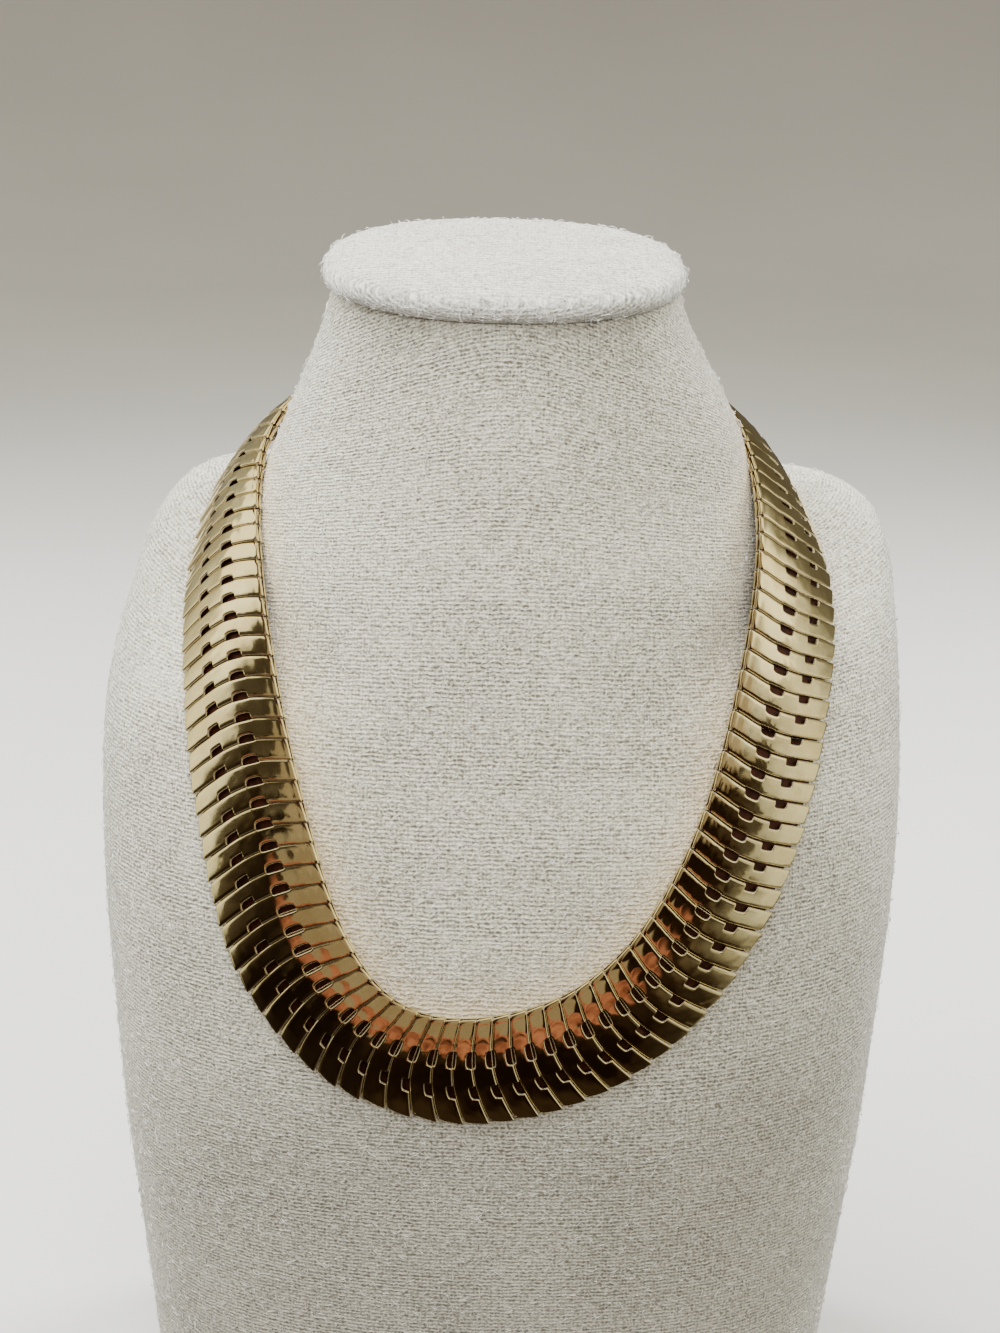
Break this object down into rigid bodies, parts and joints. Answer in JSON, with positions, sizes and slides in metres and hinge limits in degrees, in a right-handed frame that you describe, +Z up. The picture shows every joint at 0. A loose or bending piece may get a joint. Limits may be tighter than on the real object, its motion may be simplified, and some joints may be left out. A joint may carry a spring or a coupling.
{
  "type": "collar choker necklace on neck bust",
  "caption": "Articulated collar necklace of shingled, pierced crescent links in polished gold tone, worn on a plain fabric-covered neck bust that stands on its flat base.",
  "frame": {"origin": "on the flat base of the neck bust, under the middle of the object's bounding box", "axes": "+Z up, -Y towards the front that the necklace hangs on, +X to the right of someone facing that front"},
  "size_m": [0.2062, 0.1394, 0.3093],
  "materials": {
    "bust_fabric": "woven, matt, slightly fuzzy",
    "cap_fabric": "woven, matt, slightly fuzzy",
    "polished_gold": "mirror polished, lightly tarnished",
    "clasp_gold": "polished"
  },
  "bodies": {
    "root": {"bust_body": "bust_fabric", "neck_cap": "cap_fabric", "links_left_back": "polished_gold", "links_left_side": "polished_gold", "links_left_front": "polished_gold", "links_front": "polished_gold", "links_right_front": "polished_gold", "links_right_side": "polished_gold", "links_right_back": "polished_gold", "clasp": "clasp_gold"}
  },
  "joints": []
}
